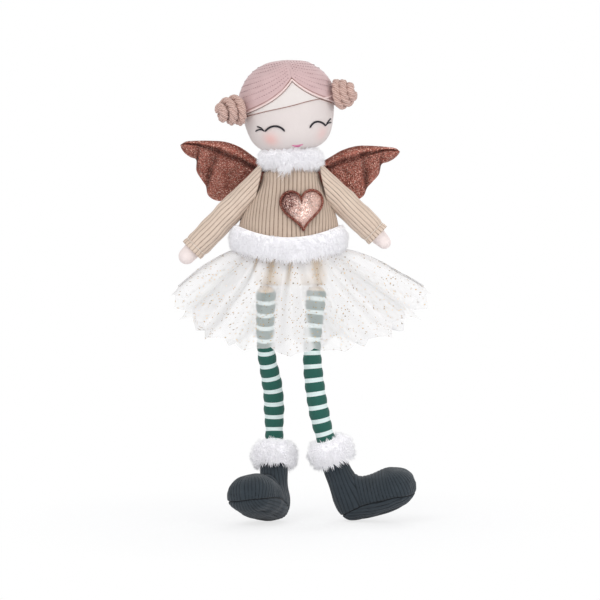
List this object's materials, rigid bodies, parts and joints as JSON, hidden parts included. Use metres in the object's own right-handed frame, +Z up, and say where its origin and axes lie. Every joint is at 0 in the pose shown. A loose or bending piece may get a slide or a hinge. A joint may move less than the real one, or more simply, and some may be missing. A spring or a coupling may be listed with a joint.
{
  "type": "fabric angel doll",
  "caption": "Stuffed cloth angel doll with felt hair, rope buns, ribbed pullover, padded heart and wings, tulle skirt, striped legs and fur-trimmed boots.",
  "frame": {"origin": "middle of the flat seat under the stuffed body", "axes": "+Z up, -Y the way the doll faces, +X the doll's left"},
  "size_m": [0.257, 0.1368, 0.4663],
  "materials": {
    "canvas_skin": "woven cream canvas with embroidery",
    "pink_cloth": "woven pale pink cotton",
    "fibre_fill": "loose white fibre",
    "ribbed_knit": "wide ribbed beige cloth",
    "pink_felt": "brushed dusty pink felt",
    "bun_rope": "twisted tan cord",
    "white_fur": "long white pile",
    "glitter_tulle": "cream net with glitter dots",
    "rose_glitter": "padded rose metallic glitter cloth",
    "dark_felt": "dark felt backing",
    "copper_glitter": "padded copper metallic glitter cloth",
    "striped_stocking": "green stocking with pale bands",
    "slate_cord": "slate green corduroy"
  },
  "bodies": {
    "torso": {"body_skin": "ribbed_knit", "body_stuffing": "fibre_fill", "sweater_front": "ribbed_knit", "sweater_back": "ribbed_knit", "heart_backing": "dark_felt", "heart_cover": "rose_glitter", "fur_hem": "white_fur", "fur_collar": "white_fur", "skirt_waistband": "glitter_tulle", "skirt_front": "glitter_tulle", "skirt_left_front": "glitter_tulle", "skirt_left_side": "glitter_tulle", "skirt_back": "glitter_tulle", "skirt_right_side": "glitter_tulle", "skirt_right_front": "glitter_tulle"},
    "head": {"head_skin": "canvas_skin", "head_stuffing": "fibre_fill", "hair_cap": "pink_felt", "hair_right_swoop": "pink_felt", "hair_left_swoop": "pink_felt", "right_hair_bun": "bun_rope", "left_hair_bun": "bun_rope"},
    "right_arm": {"right_arm": "pink_cloth", "right_arm_stuffing": "fibre_fill", "right_sleeve": "ribbed_knit"},
    "right_leg": {"right_leg": "striped_stocking", "right_leg_stuffing": "fibre_fill"},
    "right_boot": {"right_boot_upper": "slate_cord", "right_boot_stuffing": "fibre_fill", "right_boot_sole": "slate_cord", "right_boot_fur_cuff": "white_fur"},
    "right_wing": {"right_wing_front": "copper_glitter", "right_wing_wadding": "fibre_fill", "right_wing_back": "copper_glitter"},
    "left_arm": {"left_arm": "pink_cloth", "left_arm_stuffing": "fibre_fill", "left_sleeve": "ribbed_knit"},
    "left_leg": {"left_leg": "striped_stocking", "left_leg_stuffing": "fibre_fill"},
    "left_boot": {"left_boot_upper": "slate_cord", "left_boot_stuffing": "fibre_fill", "left_boot_sole": "slate_cord", "left_boot_fur_cuff": "white_fur"},
    "left_wing": {"left_wing_front": "copper_glitter", "left_wing_wadding": "fibre_fill", "left_wing_back": "copper_glitter"}
  },
  "joints": [
    {"name": "neck_turn", "type": "hinge", "parent": "torso", "child": "head", "pos_m": [0, 0, 0.1336], "axis": [-0.1045, 0, 0.9945], "range_deg": [-35, 35], "stiffness_Nm_per_rad": 0.02},
    {"name": "right_shoulder_swing", "type": "hinge", "parent": "torso", "child": "right_arm", "pos_m": [-0.028, 0, 0.111], "axis": [-1, 0, 0], "range_deg": [-6, 110]},
    {"name": "right_hip_swing", "type": "hinge", "parent": "torso", "child": "right_leg", "pos_m": [-0.025, -0.012, -0.0106], "axis": [-1, 0, 0], "range_deg": [-20, 90], "deforming": ["skirt_right_front", "skirt_front"]},
    {"name": "left_shoulder_swing", "type": "hinge", "parent": "torso", "child": "left_arm", "pos_m": [0.028, 0, 0.111], "axis": [-1, 0, 0], "range_deg": [-6, 110]},
    {"name": "left_hip_swing", "type": "hinge", "parent": "torso", "child": "left_leg", "pos_m": [0.025, -0.012, -0.0106], "axis": [-1, 0, 0], "range_deg": [-20, 90], "deforming": ["skirt_left_front"]},
    {"name": "right_ankle_turn", "type": "hinge", "parent": "right_leg", "child": "right_boot", "pos_m": [-0.017, 0.01141, -0.16959], "axis": [0, 0.3006, 0.9537], "range_deg": [-25, 30], "stiffness_Nm_per_rad": 0.01},
    {"name": "left_ankle_turn", "type": "hinge", "parent": "left_leg", "child": "left_boot", "pos_m": [0.0411, -0.01098, -0.16958], "axis": [-0.3376, -0.0844, 0.9375], "range_deg": [-80, 15], "stiffness_Nm_per_rad": 0.01},
    {"name": "right_wing_fold", "type": "hinge", "parent": "torso", "child": "right_wing", "pos_m": [-0.007, 0.03226, 0.099], "axis": [0, 0, -1], "range_deg": [0, 60], "stiffness_Nm_per_rad": 0.004},
    {"name": "left_wing_fold", "type": "hinge", "parent": "torso", "child": "left_wing", "pos_m": [0.00805, 0.03226, 0.09896], "axis": [0.0698, 0, 0.9976], "range_deg": [0, 60], "stiffness_Nm_per_rad": 0.004}
  ]
}
